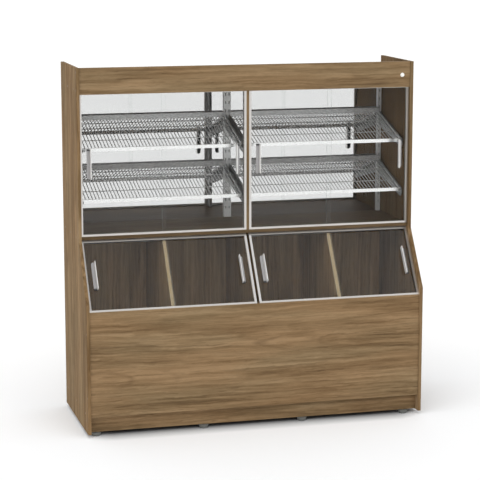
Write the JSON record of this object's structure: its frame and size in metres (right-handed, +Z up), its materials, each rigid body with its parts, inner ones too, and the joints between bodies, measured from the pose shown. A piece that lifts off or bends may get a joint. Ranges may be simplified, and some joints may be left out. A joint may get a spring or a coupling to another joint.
{
  "type": "bread display cabinet",
  "caption": "Free-standing bread display cabinet: sloping wire shelves behind sliding glass doors above a deck, and bread bins under sloping sliding glass lids below.",
  "frame": {"origin": "on the floor, under the middle of the cabinet", "axes": "+X to the right as seen from the front, +Y from the front to the back, +Z up"},
  "size_m": [1.734, 0.642, 1.8],
  "materials": {
    "laminate_upright_grain": "satin wood-grain laminate, grain upright",
    "laminate_long_grain": "satin wood-grain laminate, grain along the width",
    "back_board": "plain fibreboard",
    "mirror_glass": "silvered",
    "brown_screws": "heads painted brown to match the laminate",
    "anodised_track": "natural anodised",
    "anodised_handle": "natural anodised, fine brushed, with a dark end piece on the plate",
    "clear_glass": "clear float glass",
    "grey_steel": "light grey powder coat",
    "shelf_steel": "pale coated steel",
    "lamp_diffuser": "opal",
    "black_rubber": "matt",
    "white_plastic": "gloss",
    "grey_foot": "grey moulded"
  },
  "bodies": {
    "carcass": {"side_panel_left": "laminate_upright_grain", "side_panel_right": "laminate_upright_grain", "top_panel": "laminate_long_grain", "header_fascia": "laminate_long_grain", "deck_panel": "laminate_long_grain", "front_panel": "laminate_long_grain", "plinth_board": "laminate_long_grain", "rear_plinth_rail": "laminate_long_grain", "bin_floor": "laminate_long_grain", "centre_partition": "laminate_upright_grain", "bin_divider_left": "laminate_upright_grain", "bin_divider_right": "laminate_upright_grain", "lower_back_panel": "laminate_upright_grain", "mullion_post": "laminate_upright_grain", "upper_back_panel": "back_board", "mirror_panel": "mirror_glass", "carcass_screws": "brown_screws", "upper_bottom_tracks": "anodised_track", "upper_top_tracks": "anodised_track", "upper_jambs": "anodised_track", "lid_bottom_tracks": "anodised_track", "lid_top_tracks": "anodised_track", "lid_jambs": "anodised_track", "upright_left": "grey_steel", "upright_centre": "grey_steel", "upright_right": "grey_steel", "shelf_brackets": "grey_steel", "light_bar_housing": "anodised_track", "light_bar_diffuser": "lamp_diffuser", "lead_grommet": "black_rubber", "switch_bezel": "white_plastic"},
    "door_left_front": {"door_glass_left_front": "clear_glass", "door_handle_left_front": "anodised_handle"},
    "door_left_rear": {"door_glass_left_rear": "clear_glass", "door_handle_left_rear": "anodised_handle"},
    "door_right_front": {"door_glass_right_front": "clear_glass", "door_handle_right_front": "anodised_handle"},
    "door_right_rear": {"door_glass_right_rear": "clear_glass", "door_handle_right_rear": "anodised_handle"},
    "lid_left_front": {"lid_glass_left_front": "clear_glass", "lid_handle_left_front": "anodised_handle"},
    "lid_left_rear": {"lid_glass_left_rear": "clear_glass", "lid_handle_left_rear": "anodised_handle"},
    "lid_right_front": {"lid_glass_right_front": "clear_glass", "lid_handle_right_front": "anodised_handle"},
    "lid_right_rear": {"lid_glass_right_rear": "clear_glass", "lid_handle_right_rear": "anodised_handle"},
    "shelf_upper_left": {"wire_shelf_upper_left": "shelf_steel"},
    "shelf_upper_right": {"wire_shelf_upper_right": "shelf_steel"},
    "shelf_lower_left": {"wire_shelf_lower_left": "shelf_steel"},
    "shelf_lower_right": {"wire_shelf_lower_right": "shelf_steel"},
    "light_button": {"switch_button": "white_plastic"},
    "foot_front_1_body": {"foot_front_1": "grey_foot"},
    "foot_front_2_body": {"foot_front_2": "grey_foot"},
    "foot_front_3_body": {"foot_front_3": "grey_foot"},
    "foot_front_4_body": {"foot_front_4": "grey_foot"},
    "foot_rear_1_body": {"foot_rear_1": "grey_foot"},
    "foot_rear_2_body": {"foot_rear_2": "grey_foot"},
    "foot_rear_3_body": {"foot_rear_3": "grey_foot"},
    "foot_rear_4_body": {"foot_rear_4": "grey_foot"}
  },
  "joints": [
    {"name": "door_left_front_slide", "type": "slide", "parent": "carcass", "child": "door_left_front", "axis": [1, 0, 0], "range_m": [0, 0.345]},
    {"name": "door_left_rear_slide", "type": "slide", "parent": "carcass", "child": "door_left_rear", "axis": [1, 0, 0], "range_m": [-0.345, 0]},
    {"name": "door_right_front_slide", "type": "slide", "parent": "carcass", "child": "door_right_front", "axis": [1, 0, 0], "range_m": [0, 0.345]},
    {"name": "door_right_rear_slide", "type": "slide", "parent": "carcass", "child": "door_right_rear", "axis": [1, 0, 0], "range_m": [-0.345, 0]},
    {"name": "lid_left_front_slide", "type": "slide", "parent": "carcass", "child": "lid_left_front", "axis": [1, 0, 0], "range_m": [0, 0.345]},
    {"name": "lid_left_rear_slide", "type": "slide", "parent": "carcass", "child": "lid_left_rear", "axis": [1, 0, 0], "range_m": [-0.345, 0]},
    {"name": "lid_right_front_slide", "type": "slide", "parent": "carcass", "child": "lid_right_front", "axis": [1, 0, 0], "range_m": [0, 0.345]},
    {"name": "lid_right_rear_slide", "type": "slide", "parent": "carcass", "child": "lid_right_rear", "axis": [1, 0, 0], "range_m": [-0.345, 0]},
    {"name": "shelf_upper_left_lift", "type": "slide", "parent": "carcass", "child": "shelf_upper_left", "axis": [0, 0, 1], "range_m": [0, 0.03]},
    {"name": "shelf_upper_right_lift", "type": "slide", "parent": "carcass", "child": "shelf_upper_right", "axis": [0, 0, 1], "range_m": [0, 0.03]},
    {"name": "shelf_lower_left_lift", "type": "slide", "parent": "carcass", "child": "shelf_lower_left", "axis": [0, 0, 1], "range_m": [0, 0.03]},
    {"name": "shelf_lower_right_lift", "type": "slide", "parent": "carcass", "child": "shelf_lower_right", "axis": [0, 0, 1], "range_m": [0, 0.03]},
    {"name": "light_button_press", "type": "slide", "parent": "carcass", "child": "light_button", "axis": [0, 1, 0], "range_m": [0, 0.0018], "stiffness_N_per_m": 400},
    {"name": "foot_front_1_turn", "type": "hinge", "parent": "carcass", "child": "foot_front_1_body", "pos_m": [-0.819, -0.269, 0], "axis": [0, 0, 1], "continuous": true},
    {"name": "foot_front_2_turn", "type": "hinge", "parent": "carcass", "child": "foot_front_2_body", "pos_m": [-0.273, -0.269, 0], "axis": [0, 0, 1], "continuous": true},
    {"name": "foot_front_3_turn", "type": "hinge", "parent": "carcass", "child": "foot_front_3_body", "pos_m": [0.241, -0.269, 0], "axis": [0, 0, 1], "continuous": true},
    {"name": "foot_front_4_turn", "type": "hinge", "parent": "carcass", "child": "foot_front_4_body", "pos_m": [0.787, -0.269, 0], "axis": [0, 0, 1], "continuous": true},
    {"name": "foot_rear_1_turn", "type": "hinge", "parent": "carcass", "child": "foot_rear_1_body", "pos_m": [-0.819, 0.296, 0], "axis": [0, 0, 1], "continuous": true},
    {"name": "foot_rear_2_turn", "type": "hinge", "parent": "carcass", "child": "foot_rear_2_body", "pos_m": [-0.273, 0.296, 0], "axis": [0, 0, 1], "continuous": true},
    {"name": "foot_rear_3_turn", "type": "hinge", "parent": "carcass", "child": "foot_rear_3_body", "pos_m": [0.241, 0.296, 0], "axis": [0, 0, 1], "continuous": true},
    {"name": "foot_rear_4_turn", "type": "hinge", "parent": "carcass", "child": "foot_rear_4_body", "pos_m": [0.787, 0.296, 0], "axis": [0, 0, 1], "continuous": true}
  ]
}
